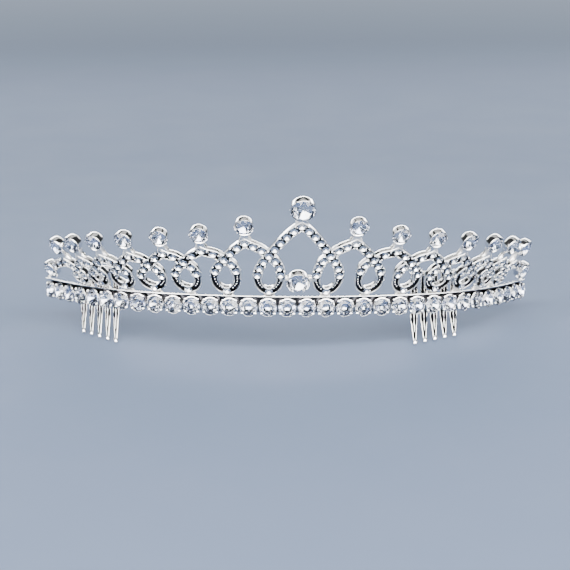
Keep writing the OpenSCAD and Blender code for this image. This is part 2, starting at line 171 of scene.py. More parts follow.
class TiaraStage(bpy.types.PropertyGroup):
    """Floor and lights"""

    floor: colour("Floor", (0.058, 0.078, 0.122), "Plain pale floor")
    # This colour lights the world below the horizon and is also a glow painted into the floor far from the tiara.
    distance: colour("Distance", (0.34, 0.39, 0.465), "Tone of the floor and the backdrop far from the tiara")
    sky: colour("Surroundings", (0.035, 0.037, 0.042), "Dark studio round the lights")
    overhead: watts("Overhead light", 0.35, "Power of the soft light above")
    front: watts("Front light", 62.0, "Power of the wide light in front")
    rim: watts("Rim light", 3.6, "Power of the low light behind")
    back: watts("Back lights", 0.4, "Power of each light behind")
    side: watts("Side lights", 7.0, "Power of each side light")


GROUPS = {
    "tiara_band": TiaraBand,
    "tiara_arches": TiaraArches,
    "tiara_stones": TiaraStones,
    "tiara_combs": TiaraCombs,
    "tiara_rest": TiaraRest,
}


def read_sizes():
    """All sizes in one namespace, in millimetres and degrees."""
    sizes = SimpleNamespace()
    for attribute, group in GROUPS.items():
        values = getattr(bpy.context.scene, attribute)
        for name in group.__annotations__:
            value, kind = getattr(values, name), values.bl_rna.properties[name].unit
            if kind == "LENGTH":
                value /= MM
            elif kind == "ROTATION":
                value = math.degrees(value)
            setattr(sizes, name, value)
    return sizes


# Places on the tiara, in millimetres, as it is worn with its band level


def unit(v):
    return v.normalized()


def bezier(a, b, c, d, n):
    """Points of a curve from a to d, without the first one."""
    steps = [(i / n, 1 - i / n) for i in range(1, n + 1)]
    return [u**3 * a + 3 * u * u * t * b + 3 * u * t * t * c + t**3 * d for t, u in steps]


class Shape:
    """The curved, leaning wall: s runs along the band, h up the wall and out in front of it."""

    bend_h = 3.0  # where the wall starts to lean
    cup_side, cup_floor = 0.22, 0.6  # thicknesses of a cup
    inset = 0.2  # how far the strip and the rail stay within the depth of the band cups
    gap = 0.12  # room between a stone and its seat
    end_step, end_h = 10.2, 7.4  # from the last arch to the end stone, and that stone's height
    centre_h = 8.4  # height of the centre stone
    peak_fall = 0.8  # slope of an arch beside its peak
    straight = 1.9  # length of the straight part of a channel beside a crossing
    widest, roundness = 0.38, 0.55  # where a loop is widest, and how round it is below that
    bare_start, bare_fade = 0.7, 0.9  # from a loop's last small stone to its narrowing, and the length of that

    def __init__(self):
        self.v = read_sizes()
        v = self.v
        self.arcs = ((v.front_length, v.front_radius), (v.side_length, v.side_radius), (1000, v.end_radius))
        self.rail_h = v.band_cup / 2 + 0.04
        self.strip_back = v.band_cup_depth / 2 - self.inset + v.strip_thick
        self.groove = v.channel_depth / 2 - v.groove_depth
        self.band_half = v.stones / 2 * v.pitch + 0.4
        self.end_s = self.top_s(v.side_arches) + self.end_step

    def plan(self, s):
        left, x, y, a = abs(s), 0.0, 0.0, 0.0
        for length, r in self.arcs:
            t = min(left, length)
            b = a + t / r
            x, y, a = x + r * (math.sin(b) - math.sin(a)), y + r * (math.cos(a) - math.cos(b)), b
            left -= t
            if left <= 0:
                break
        return (x, y, a) if s >= 0 else (-x, y, -a)

    def lean(self, h):
        return math.radians(self.v.wall_lean if h > self.bend_h else self.v.band_lean)

    def along_lean(self, h, part):
        low, high = min(h, self.bend_h), max(h - self.bend_h, 0)
        return low * part(math.radians(self.v.band_lean)) + high * part(math.radians(self.v.wall_lean))

    def point(self, s, h, out=0.0):
        x, y, a = self.plan(s)
        lean = self.lean(h)
        r = self.along_lean(h, math.sin) + out * math.cos(lean)
        z = self.along_lean(h, math.cos) - out * math.sin(lean)
        return Vector((x + r * math.sin(a), y - r * math.cos(a), z))

    def seat(self, s, h, out=0.0):
        """Puts a piece on the wall, its z axis pointing out of it and its y axis up it."""
        turn = Matrix.Rotation(self.plan(s)[2], 4, "Z") @ Matrix.Rotation(math.pi / 2 + self.lean(h), 4, "X")
        return Matrix.Translation(self.point(s, h, out)) @ turn

    def seats(self, places, out=0.0):
        """Seats at places on the wall, each with its mirror image."""
        return [self.seat(side * s, h, out) for s, h in places for side in (-1, 1)]

    def stretch(self, s, h):
        r = self.v.front_radius if abs(s) < self.v.front_length else self.v.side_radius
        return 1 + max(self.along_lean(h, math.sin), 0) / r

    def rest(self):
        """From the worn position to standing on its combs, and from millimetres to metres."""
        v = self.v
        turn = Matrix.Rotation(math.radians(v.roll), 4, "Y") @ Matrix.Rotation(math.radians(-v.tilt), 4, "X")
        return Matrix.Scale(MM, 4) @ Matrix.Translation((v.side, -v.back, v.lift)) @ turn

    # Arches are numbered from 0 in the middle, and loop k lies between arch k and arch k + 1

    def top_s(self, k):
        v = self.v
        return v.first_step + (k - 1) * v.second_step - v.step_less * (k - 1) * (k - 2) / 2 if k else 0.0

    def top_h(self, k):
        v = self.v
        return (v.crown_h, v.second_h)[k] if k < 2 else v.third_h - v.height_less * (k - 2)

    def peak(self, k):
        return Vector((self.top_s(k), self.top_h(k) - self.v.peak_drop))

    def crossing(self, k):
        """The crossing above loop k. Loop -1 is the mirror image of loop 0."""
        v, j = self.v, max(k, 0)
        s = v.first_cross_s if j == 0 else (self.top_s(j) + self.top_s(j + 1)) / 2
        return Vector((-s if k < 0 else s, v.second_cross_h - v.cross_less * (j - 1) if j else v.first_cross_h))

    def loop_w(self, j):
        return min(self.v.loop_half_w, (self.top_s(j + 1) - self.top_s(j) - self.v.channel_w - 0.5) / 2)

    def side_point(self, k, way):
        j = k if way > 0 else k - 1
        c, low = self.crossing(j), self.v.loop_bottom_h
        return Vector((c.x + way * self.loop_w(max(j, 0)), low + self.widest * (c.y - low)))

    def cross_way(self, k, way):
        c = self.crossing(k if way > 0 else k - 1)
        return unit(2 * unit(c - self.peak(k)) + unit(self.side_point(k, way) - c))

    def beside(self, k, way, above):
        """Where a channel starts to bend, above or below its crossing."""
        c = self.crossing(k if way > 0 else k - 1)
        off = self.straight if above > 0 else min(self.straight, (self.side_point(k, way) - c).length / 2)
        return c - above * off * self.cross_way(k, way)

    def leg(self, k, way, n=9):
        """From the peak of arch k down to just above its crossing."""
        a, c, d = self.peak(k), self.beside(k, way, 1), self.cross_way(k, way)
        r = (c - a).length / 3
        return bezier(a, a + r * unit(Vector((way, -self.peak_fall))), c - r * d, c, n)

    def side(self, k, way, n=9):
        """From just below the crossing round the side of the loop to its bottom."""
        j, d = (k if way > 0 else k - 1), self.cross_way(k, way)
        a, e = self.beside(k, way, -1), self.side_point(k, way)
        low = Vector((self.crossing(j).x, self.v.loop_bottom_h))
        r = (e - a).length / 3
        upper = bezier(a, a + r * d, e + Vector((0, r)), e, n)
        down, w = self.roundness * (e.y - low.y), self.roundness * self.loop_w(max(j, 0))
        lower = bezier(e, e - Vector((0, down)), low + Vector((way * w, 0)), low, n + 4)
        return [a] + upper + lower

    def bare(self, k, way):
        """How much narrower the channel is at each point of a loop's side, below its small stones."""
        lengths = self.lengths([self.crossing(k if way > 0 else k - 1)] + self.side(k, way))
        start = side_count(self, lengths[-1]) * self.v.small_pitch + self.bare_start
        return [self.v.bare_less * min(max((t - start) / self.bare_fade, 0), 1) for t in lengths[1:]]

    def end_leg(self, n=9):
        a, e = self.peak(self.v.side_arches), Vector((self.end_s - 1, self.end_h + 1))
        return bezier(a, a + Vector((1.6, -0.5)), e - Vector((1.6, -0.8)), e, n)

    def end_wire(self, n=12):
        a, e = Vector((self.end_s + 1.2, self.end_h - 2)), Vector((self.band_half - 0.6, self.rail_h + 0.2))
        return [a] + bezier(a, a + Vector((2.2, -0.8)), e + Vector((0.9, 1.6)), e, n)

    def cut_across(self, k):
        """The way across an inner channel's end, along the outer channel that it is soldered to."""
        w, v = self.cross_way(k - 1, 1), self.cross_way(k, -1)
        return w / abs(w.x * v.y - w.y * v.x)

    def cut_point(self, k, above):
        w, v = self.cross_way(k - 1, 1), self.cross_way(k, -1)
        t = (self.v.channel_w / 2 - 0.09) / abs(w.x * v.y - w.y * v.x)
        return self.crossing(k - 1) - above * t * v

    def round_loop(self, k):
        leg, back = self.leg(k, 1), self.side(k + 1, -1)
        less = [0.0] * len(leg) + self.bare(k, 1) + self.bare(k + 1, -1)[-2::-1] + [0.0]
        return leg + self.side(k, 1) + back[-2::-1] + [self.cut_point(k + 1, -1)], less

    def arch_path(self, k):
        """The path of arch k, with its loop, how much narrower it is at each point, and the ways across its ends."""
        inner = [self.cut_point(k, 1)] + self.leg(k, -1)[::-1] + [self.peak(k)]
        if k == self.v.side_arches:
            path = inner + self.end_leg()
            return path, [0.0] * len(path), -self.cut_across(k), None
        loop, less = self.round_loop(k)
        return inner + loop, [0.0] * len(inner) + less, -self.cut_across(k), -self.cut_across(k + 1)

    def middle_path(self):
        (half, less), end = self.round_loop(0), -self.cut_across(1)
        mirrored = [Vector((-p.x, p.y)) for p in reversed(half)]
        return mirrored + [self.peak(0)] + half, less[::-1] + [0.0] + less, Vector((-end.x, end.y)), end

    def lengths(self, path):
        t, out = 0.0, [0.0]
        for a, b in zip(path, path[1:]):
            t += math.hypot((b.x - a.x) * self.stretch(a.x, a.y), b.y - a.y)
            out.append(t)
        return out

    def place(self, path, t):
        """The point at length t along a path, and the way the path runs there."""
        lengths = self.lengths(path)
        i = max(j for j in range(len(path) - 1) if lengths[j] <= t)
        f = (t - lengths[i]) / (lengths[i + 1] - lengths[i])
        return path[i].lerp(path[i + 1], f), unit(path[i + 1] - path[i])

    def stone_in(self, cup):
        return cup - 2 * self.cup_side

    def girdle(self, cup, depth):
        """Height of a stone's girdle above the middle of its cup."""
        return self.cup_floor - depth / 2 + self.gap + 0.3 * self.stone_in(cup)


# Modelling, as by hand


# The second of these numbers marks faces darkened with painted shade.
PLAIN, SHADED, DULL = range(3)  # numbers of the materials of swept faces


def deselect():
    if bpy.context.object and bpy.context.object.mode != "OBJECT":
        bpy.ops.object.mode_set(mode="OBJECT")
    bpy.ops.object.select_all(action="DESELECT")


def select_only(objects):
    deselect()
    for o in objects:
        o.select_set(True)
    bpy.context.view_layer.objects.active = objects[0]


def added(add, **values):
    deselect()
    add(**values)
    return bpy.context.object


def start_edit(piece):
    """Opens all of a piece in edit mode, with its place in its mesh."""
    select_only([piece])
    bpy.ops.object.transform_apply(location=True)
    bpy.ops.object.mode_set(mode="EDIT")
    bpy.ops.mesh.select_all(action="SELECT")


def end_edit():
    """Turns all faces outwards and leaves edit mode."""
    bpy.ops.mesh.select_all(action="SELECT")
    bpy.ops.mesh.normals_make_consistent(inside=False)
    bpy.ops.object.mode_set(mode="OBJECT")


def join(pieces):
    select_only(pieces)
    if len(pieces) > 1:
        bpy.ops.object.join()
    return bpy.context.object


def copies(piece, matrices):
    """Copies of a piece, each with its own mesh."""
    made = []
    for matrix in matrices:
        new = piece.copy()
        new.data = piece.data.copy()
        new.data.transform(matrix)
        bpy.context.collection.objects.link(new)
        made.append(new)
    return made


def copy_to(piece, matrices):
    """Copies a piece and removes the first one."""
    made = copies(piece, matrices)
    bpy.data.objects.remove(piece)
    return made


def loft(rings, kinds=()):
    """Skins rings of points with a grid, welds its seam and closes both ends. kinds gives the number of the material
    of the faces that start at each point of a ring."""
    n = len(rings[0])
    piece = added(bpy.ops.mesh.primitive_grid_add, x_subdivisions=n, y_subdivisions=len(rings) - 1, size=2)
    piece.data.vertices.foreach_set("co", [c for ring in rings for p in list(ring) + [ring[0]] for c in p])
    if kinds:
        faces = piece.data.polygons
        faces.foreach_set("material_index", [kinds[i % n] for i in range(len(faces))])
    start_edit(piece)
    bpy.ops.mesh.remove_doubles(threshold=1e-5)
    bpy.ops.mesh.fill_holes(sides=0)
    end_edit()
    return piece


def across(shape, path, i):
    """The way across a path on the wall at point i, longer at a corner so that the width stays the same."""
    m, near = shape.stretch(*path[i]), path[max(i - 1, 0) : i + 2]
    ways = [unit(Vector(((b.x - a.x) * m, b.y - a.y))) for a, b in zip(near, near[1:])]
    d = unit(ways[0] + ways[-1])
    c = max(d.dot(ways[0]), 0.6)
    return Vector((-d.y / m, d.x)) / c


def wall_sweep(shape, path, section, less=None, mirror=1, first=None, last=None, kinds=()):
    """Sweeps a section of (across, out) points along a path on the wall. less tells how much narrower it gets. first
    and last are the ways across ends that are soldered to another channel, which are a little thinner than it."""
    rings = []
    for i, p in enumerate(path):
        end = first if i == 0 else last if i == len(path) - 1 else None
        a, thin = (end, 0.94) if end else (across(shape, path, i), 1)
        shift = less[i] if less else 0
        ring = [(q - math.copysign(shift, q), out * thin) for q, out in section]
        rings.append([shape.point(mirror * (p.x + q * a.x), p.y + q * a.y, out) for q, out in ring])
    return loft(rings, kinds)


def tube(points, radius, sides=10, taper=None, flat=1.0, side_way=Vector((1, 0, 0))):
    """A round wire along 3-D points. taper gives its thickness at each point, and flat its other width."""
    rings = []
    for i, p in enumerate(points):
        way = unit(points[min(i + 1, len(points) - 1)] - points[max(i - 1, 0)])
        x = unit(side_way - way * side_way.dot(way))
        y = way.cross(x)
        r = radius * (taper[i] if taper else 1)
        turns = [2 * math.pi * j / sides for j in range(sides)]
        rings.append([p + r * (math.cos(a) * x + flat * math.sin(a) * y) for a in turns])
    return loft(rings)


def turned_cup(radius, depth, stone_r, seat_z, sides=32):
    """A cup turned from a circle: extruded and resized ring by ring up its side, over the rim and down inside."""
    low, high = -depth / 2, depth / 2
    # Radii, in radii of the cup, and heights
    profile = [
        (0.66, low), (0.77, low + 0.07), (0.85, low + 0.3), (0.91, low + 0.6), (0.95, low + 1.0), (0.985, high - 0.5),
        (1.0, high - 0.22), (1.0, high - 0.06), (0.985, high + 0.02), (0.965, high + 0.04),
        ((stone_r + 0.1) / radius, high + 0.01), ((stone_r - 0.02) / radius, max(seat_z + 0.16, high - 0.18)),
        ((stone_r + 0.05) / radius, seat_z - 0.08), (0.5, low + 0.62), (0.2, low + 0.6),
    ]
    r, z = profile[0]
    piece = added(
        bpy.ops.mesh.primitive_circle_add, vertices=sides, radius=r * radius, location=(0, 0, z), fill_type="NGON"
    )
    start_edit(piece)
    for (r0, z0), (r1, z1) in zip(profile, profile[1:]):
        bpy.ops.mesh.extrude_region_move(TRANSFORM_OT_translate={"value": (0, 0, z1 - z0)})
        bpy.ops.transform.resize(value=(r1 / r0, r1 / r0, 1))
    end_edit()
    return piece


def bead(radius, squash=1.0, rings=5, segments=8):
    piece = added(bpy.ops.mesh.primitive_uv_sphere_add, radius=radius, segments=segments, ring_count=rings)
    piece.data.transform(Matrix.Diagonal((1, 1, squash, 1)))
    return piece


def facet(turn, tilt, through):
    """Cuts one flat facet, whose normal is turned round the stone and tilted from its axis, in degrees. It goes
    through a point at a radius and a height."""
    a, t = math.radians(turn), math.radians(tilt)
    normal = Vector((math.sin(t) * math.cos(a), math.sin(t) * math.sin(a), math.cos(t)))
    r, z = through
    place = (r * math.cos(a), r * math.sin(a), z)
    bpy.ops.mesh.select_all(action="SELECT")
    bpy.ops.mesh.bisect(plane_co=place, plane_no=normal, use_fill=True, clear_outer=True, threshold=1e-6)


def brilliant():
    """A round brilliant 1 across: table, 8 stars, 8 kites and 16 halves above the girdle, 24 facets below."""
    start_edit(added(bpy.ops.mesh.primitive_cylinder_add, vertices=32, radius=0.5, depth=0.5, location=(0, 0, -0.05)))
    for k in range(8):
        facet(45 * k, 38.8, (0.281, 0.2))
        facet(45 * k + 22.5, 25, (0.26, 0.2))
        facet(45 * k, 180 - 27, (0, -0.275))
        for half in (-11.25, 11.25):
            facet(45 * k + half, 44, (0.5, 0.02))
            facet(45 * k + half, 180 - 29.5, (0.5, -0.02))
    bpy.ops.object.mode_set(mode="OBJECT")
    return bpy.context.object


def small_cut(width, height):
    """A small stone with a table, 8 stars and 8 kites above, and 5 facets below."""
    r, place = width / 2, (0, 0, height / 2)
    start_edit(added(bpy.ops.mesh.primitive_cylinder_add, vertices=16, radius=r, depth=height, location=place))
    for k in range(8):
        facet(45 * k, 30, (0.62 * r, height))
        facet(45 * k + 22.5, 17, (0.55 * r, height))
    for k in range(5):
        facet(72 * k - 90, 180 - 27, (0 if k else -0.15 * r, 0))
    bpy.ops.object.mode_set(mode="OBJECT")
    return bpy.context.object


def paint(piece, *materials):
    """Gives a piece its materials, by the numbers that its faces have."""
    for m in materials:
        piece.data.materials.append(m)


def paint_stone(stone, crown, back):
    """Gives a stone the material of its crown and that of its back."""
    paint(stone, crown, back)
    for p in stone.data.polygons:
        p.material_index = 1 if p.normal.z < 0.1 else 0


def finish(piece, name, nodes, shape, smooth=None):
    piece.name = piece.data.name = name
    piece.data.transform(shape.rest())
    select_only([piece])
    if smooth is None:
        bpy.ops.object.shade_flat()
    else:
        bpy.ops.object.shade_smooth_by_angle(angle=math.radians(smooth))
    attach(piece, "root")
    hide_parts(*nodes)


def finish_metal(pieces, name, shape, smooth, *looks):
    """Joins metal pieces of the frame, gives them their materials and finishes them."""
    piece = join(pieces)
    paint(piece, *looks)
    finish(piece, name, ["frame"], shape, smooth)


# Materials


def group(name, inputs, outputs):
    """A new node group with named sockets, its nodes, links and two ends."""
    tree = bpy.data.node_groups.new(name, "ShaderNodeTree")
    for text, kind, value in inputs:
        socket = tree.interface.new_socket(name=text, in_out="INPUT", socket_type="NodeSocket" + kind)
        if value is not None:
            socket.default_value = value
    for text, kind in outputs:
        tree.interface.new_socket(name=text, in_out="OUTPUT", socket_type="NodeSocket" + kind)
    return tree, tree.nodes.new("NodeGroupInput"), tree.nodes.new("NodeGroupOutput")


def fill(tree, node, **values):
    """Sets sockets of a node, or links them to other sockets. An underscore in a name stands for a space."""
    for name, value in values.items():
        socket = node.inputs[name.replace("_", " ")]
        if isinstance(value, bpy.types.NodeSocket):
            tree.links.new(value, socket)
        else:
            socket.default_value = value


def noise(tree, vector, scale, detail=3.0):
    node = tree.nodes.new("ShaderNodeTexNoise")
    fill(tree, node, Vector=vector, Scale=scale, Detail=detail, Roughness=0.55)
    return node.outputs["Fac"]


def ranged(tree, value, low, high, to_low, to_high):
    node = tree.nodes.new("ShaderNodeMapRange")
    fill(tree, node, Value=value, From_Min=low, From_Max=high, To_Min=to_low, To_Max=to_high)
    return node.outputs["Result"]


def sum_of(tree, a, b, share):
    node = tree.nodes.new("ShaderNodeMath")
    node.operation = "MULTIPLY_ADD"
    tree.links.new(b, node.inputs[0])
    node.inputs[1].default_value = share
    tree.links.new(a, node.inputs[2])
    return node.outputs[0]


def plate_wear():
    """Polish marks and thin places of silver plate."""
    if "plate_wear" in bpy.data.node_groups:
        return bpy.data.node_groups["plate_wear"]
    inputs = [("Position", "Vector", None), ("Grain", "Float", 900.0), ("Dullest", "Float", 0.3)]
    outputs = [("Dull", "Float"), ("Roughness", "Float"), ("Height", "Float")]
    tree, start, end = group("plate_wear", inputs, outputs)
    patches = noise(tree, start.outputs["Position"], 260.0, 4.0)
    grain = noise(tree, start.outputs["Position"], start.outputs["Grain"], 2.0)
    dull = ranged(tree, patches, 0.52, 0.78, 0.0, 1.0)
    rough = ranged(tree, patches, 0.35, 0.75, 0.05, start.outputs["Dullest"])
    fill(tree, end, Dull=dull, Roughness=rough, Height=sum_of(tree, patches, grain, 0.35))
    return tree


def stone_cells():
    """A different tone for each facet-sized cell of a stone."""
    if "stone_cells" in bpy.data.node_groups:
        return bpy.data.node_groups["stone_cells"]
    inputs = [("Position", "Vector", None), ("Cells", "Float", 1100.0)]
    tree, start, end = group("stone_cells", inputs, [("Tone", "Float"), ("Haze", "Float")])
    cell = tree.nodes.new("ShaderNodeTexVoronoi")
    fill(tree, cell, Vector=start.outputs["Position"], Scale=start.outputs["Cells"])
    split = tree.nodes.new("ShaderNodeSeparateColor")
    fill(tree, split, Color=cell.outputs["Color"])
    tone = ranged(tree, split.outputs["Red"], 0.45, 1.0, 0.0, 1.0)
    fill(tree, end, Tone=tone, Haze=noise(tree, start.outputs["Position"], 700.0))
    return tree


def new_material(name):
    m = bpy.data.materials.new(name)
    m.use_nodes = True
    tree = m.node_tree
    shader = next(n for n in tree.nodes if n.type == "BSDF_PRINCIPLED")
    where = tree.nodes.new("ShaderNodeTexCoord").outputs["Object"]
    return m, tree, shader, where


def placed(tree, made, where, **values):
    node = tree.nodes.new("ShaderNodeGroup")
    node.node_tree = made
    fill(tree, node, Position=where, **values)
    return node


def mixed(tree, factor, a, b):
    node = tree.nodes.new("ShaderNodeMix")
    node.data_type = "RGBA"
    fill(tree, node, Factor=factor, A=(*a, 1), B=(*b, 1))
    return node.outputs["Result"]


def bumped(tree, shader, height, distance):
    node = tree.nodes.new("ShaderNodeBump")
    fill(tree, node, Distance=distance, Strength=1, Height=height)
    fill(tree, shader, Normal=node.outputs["Normal"])


def plate(name, tones, grain, dullest, bump):
    """Plated metal with a polished and a worn tone, or painted shade in two dark tones."""
    if name in bpy.data.materials:
        return bpy.data.materials[name]
    m, tree, shader, where = new_material(name)
    wear = placed(tree, plate_wear(), where, Grain=grain, Dullest=dullest)
    tone = mixed(tree, wear.outputs["Dull"], *tones)
    fill(tree, shader, Base_Color=tone, Roughness=wear.outputs["Roughness"], Metallic=1)
    bumped(tree, shader, wear.outputs["Height"], bump)
    return m


def silver(name, grain=900.0, dullest=0.22, bump=0.00002):
    """Polished silver plate."""
    c = bpy.context.scene.tiara_finish
    return plate(name, (c.silver, c.silver_dark), grain, dullest, bump)


def recess(name="silver_recess", share=1.0):
    """Painted shade: a dull, nearly black plate colour for the bottom of a groove and other places where shade falls.
    """
    c = bpy.context.scene.tiara_finish
    tones = [[x * part * share for x in c.recess] for part in (1, 0.5)]
    return plate(name, tones, 1600.0, 0.5, 0.00008)


def foil(name="stone_foil", bright=0.0):
    """Silver foil seen through a stone, with a painted blue reflection in random facets. bright takes that painted
    reflection away.
    """
    if name in bpy.data.materials:
        return bpy.data.materials[name]
    c = bpy.context.scene.tiara_finish
    m, tree, shader, where = new_material(name)
    cells = placed(tree, stone_cells(), where, Cells=900.0)
    tones = [[x + (1 - x) * bright for x in tone] for tone in (c.foil, c.foil_blue)]
    tone = mixed(tree, cells.outputs["Tone"], *tones)
    rough = ranged(tree, cells.outputs["Haze"], 0.3, 0.7, 0.02, 0.12)
    fill(tree, shader, Base_Color=tone, Roughness=rough, Metallic=1)
    return m


def glass():
    """Clear cut glass of a crown."""
    if "cut_glass" in bpy.data.materials:
        return bpy.data.materials["cut_glass"]
    c = bpy.context.scene.tiara_finish
    m, tree, shader, where = new_material("cut_glass")
    cells = placed(tree, stone_cells(), where, Cells=500.0)
    tone = mixed(tree, cells.outputs["Tone"], c.glass, (0.9, 0.94, 1.0))
    rough = ranged(tree, cells.outputs["Haze"], 0.45, 0.8, 0.0, 0.05)
    fill(tree, shader, Base_Color=tone, Roughness=rough, IOR=1.56, Transmission_Weight=1)
    return m


def floor_material():
    """Pale matt floor. Far from the lamps a faint light of its own keeps its tone."""
    c = bpy.context.scene.tiara_stage
    m, tree, shader, where = new_material("pale_floor")
    tone = ranged(tree, noise(tree, where, 3.0), 0.3, 0.7, 0.0, 1.0)
    tone = mixed(tree, tone, c.floor, [0.97 * x for x in c.floor])
    rough = ranged(tree, noise(tree, where, 40.0), 0.3, 0.7, 0.85, 0.95)
    fill(tree, shader, Base_Color=tone, Roughness=rough, Specular_IOR_Level=0.1)
    length = tree.nodes.new("ShaderNodeVectorMath")
    length.operation = "LENGTH"
    tree.links.new(where, length.inputs[0])
    far = ranged(tree, length.outputs["Value"], 0.25, 0.85, 0.0, 1.0)
    fill(tree, shader, Emission_Color=mixed(tree, far, (0, 0, 0), c.distance), Emission_Strength=1)
    return m


# Pieces


class TIARA_OT_band(bpy.types.Operator):
    """Makes the flat strip with its rail, and the row of cups on it"""

    bl_idname = "tiara.band"
    bl_label = "Head Band"

    edge, roll, flat = 0.12, 0.16, 0.05  # bevels of the strip, rounding of the rail, and flat parts beside that
    fall = 0.28  # from the rail's front edge to its back edge
    claw, squash = 0.42, 0.75  # radius and flatness of a claw

    def section(self, shape):
        """The strip with its rail: up the back, over the rail and down the front."""
        v, r = shape.v, self.roll
        low, high = -v.strip_height / 2, shape.rail_h + v.rail_thick
        back, front, lip = -shape.strip_back, v.strip_thick - shape.strip_back, v.band_cup_depth / 2 - shape.inset
        rear = high - self.fall
        turns = [math.radians(22.5 * i) for i in range(5)]
        return [
            (low + self.edge, back), (rear - r - self.flat, back),
            *[(rear - r + r * math.sin(a), back + r - r * math.cos(a)) for a in turns],
            (rear, back + r + self.flat), (high, lip - r - self.flat),
            *[(high - r + r * math.cos(a), lip - r + r * math.sin(a)) for a in turns],
            (high - 0.26, lip), (high - 0.3, lip - 0.06), (shape.rail_h, front),
            (low + self.edge, front), (low, front - self.edge), (low, back + self.edge),
        ]

    def execute(self, context):
        shape = Shape()
        v = shape.v
        section, steps = self.section(shape), 4 * v.stones
        path = [Vector((-shape.band_half + 2 * shape.band_half * i / steps, 0)) for i in range(steps + 1)]
        # Painted shade from under the rail's front edge down the front of the strip
        kinds = [PLAIN] * (len(section) - 6) + [SHADED] * 3 + [PLAIN] * 3
        strip = wall_sweep(shape, path, section, kinds=kinds)
        finish_metal([strip], "band_strip", shape, 24, silver("silver_band"), recess())

        stone_r = shape.stone_in(v.band_cup) / 2
        girdle = shape.girdle(v.band_cup, v.band_cup_depth)
        cup = turned_cup(v.band_cup / 2 - 0.03, v.band_cup_depth, stone_r, girdle)
        place = Matrix.Translation((stone_r + 0.06, 0, v.band_cup_depth / 2 + 0.12))
        turns = [Matrix.Rotation(math.radians(45 + 90 * i), 4, "Z") for i in range(4)]
        cup = join([cup] + copy_to(bead(self.claw, self.squash), [turn @ place for turn in turns]))
        seats = [shape.seat(side * (i + 0.5) * v.pitch, 0) for side in (-1, 1) for i in range(v.stones // 2)]
        finish_metal(copy_to(cup, seats), "band_cups", shape, 40, silver("silver_cups", 1400.0, 0.16))
        return {"FINISHED"}


class TIARA_OT_channels(bpy.types.Operator):
    """Makes the grooved channels of the arches and loops, and the beads along them"""

    bl_idname = "tiara.channels"
    bl_label = "Arch Channels"

    # Back and rounded side of a channel, in from its edge and out from its back
    flank = ((0.7, 0), (0.45, 0.07), (0.24, 0.28), (0.1, 0.62), (0.02, 1.1))
    roll, angles = 0.16, (-60, -25, 10, 45, 80, 115, 150, 180)  # radius of a rolled edge, and its points
    # Faces round a section: plain back and sides, dull rolled edges and a groove darkened with painted shade
    kinds = [PLAIN] * 5 + [DULL] * 7 + [SHADED] * 5 + [DULL] * 7 + [PLAIN] * 6
    grain, grain_in = 0.27, 0.2  # radius of a grain, and how far in from the edge it is
    saddle, saddle_up = 0.42, 0.25  # radius of a saddle, and its height above the groove
    dot, dot_start, dot_end, dot_pitch = 0.3, 1.35, 1.2, 0.87  # radius, room before and after the dots, pitch

    def section(self, shape):
        """Half a channel, from its back round its rolled edge into its groove, and its mirror image."""
        w, front, groove, r = shape.v.channel_w / 2, shape.v.channel_depth / 2, shape.groove, self.roll
        half = [(w - a, b - front) for a, b in self.flank]
        turns = [math.radians(a) for a in self.angles]
        half += [(w - 0.05 + r * math.cos(a), front - r + r * math.sin(a)) for a in turns]
        half += [(w - 0.22, groove + 0.1), (w - 0.28, groove)]
        return half + [(-q, out) for q, out in reversed(half)]

    def dots(self, shape):
        """Places of the dots in the bare part of each loop of one side."""
        places = []
        for k in range(shape.v.side_arches):
            for arch, way in ((k, 1), (k + 1, -1)):
                path = [shape.crossing(k)] + shape.side(arch, way)
                length = shape.lengths(path)[-1]
                t = side_count(shape, length) * shape.v.small_pitch + self.dot_start
                while t < length - self.dot_end:
                    places.append(shape.place(path, t)[0])
                    t += self.dot_pitch
        return places

    def execute(self, context):
        shape = Shape()
        v = shape.v
        section = self.section(shape)
        paths = [(1, shape.middle_path())]
        paths += [(mirror, shape.arch_path(k)) for mirror in (-1, 1) for k in range(1, v.side_arches + 1)]
        channels = []
        for mirror, (path, less, first, last) in paths:
            channels.append(wall_sweep(shape, path, section, less, mirror, first, last, self.kinds))
        # The groove's faces get painted shade.
        looks = (silver("silver_channels", 1100.0, 0.18), recess(), silver("silver_edges", 1400.0, 0.8))
        for channel in channels:
            paint(channel, *looks)
        finish(join(channels), "arch_channels", ["frame"], shape, 24)

        places, between = [], small_places(shape)[1]
        for p, way in between:
            m = shape.stretch(p.x, p.y)
            for edge in (-1, 1):
                places.append(p + Vector((-way.y / m, way.x)) * edge * (v.channel_w / 2 - self.grain_in))
        grains = copy_to(bead(self.grain), shape.seats(places, v.channel_depth / 2))
        saddles = shape.seats([p for p, way in between], shape.groove + self.saddle_up)
        grains += copy_to(bead(self.saddle, 0.8), saddles)
        finish_metal(grains, "channel_grains", shape, 60, silver("silver_grains", 1400.0, 0.12))

        dots = copy_to(bead(self.dot, 0.9), shape.seats(self.dots(shape), shape.groove + 0.02))
        finish_metal(dots, "groove_dots", shape, 60, silver("silver_grains"))
        return {"FINISHED"}


def side_count(shape, length):
    """Number of small stones on the upper part of a loop's side."""
    return math.floor((length * 0.55 - 0.3) / shape.v.small_pitch)


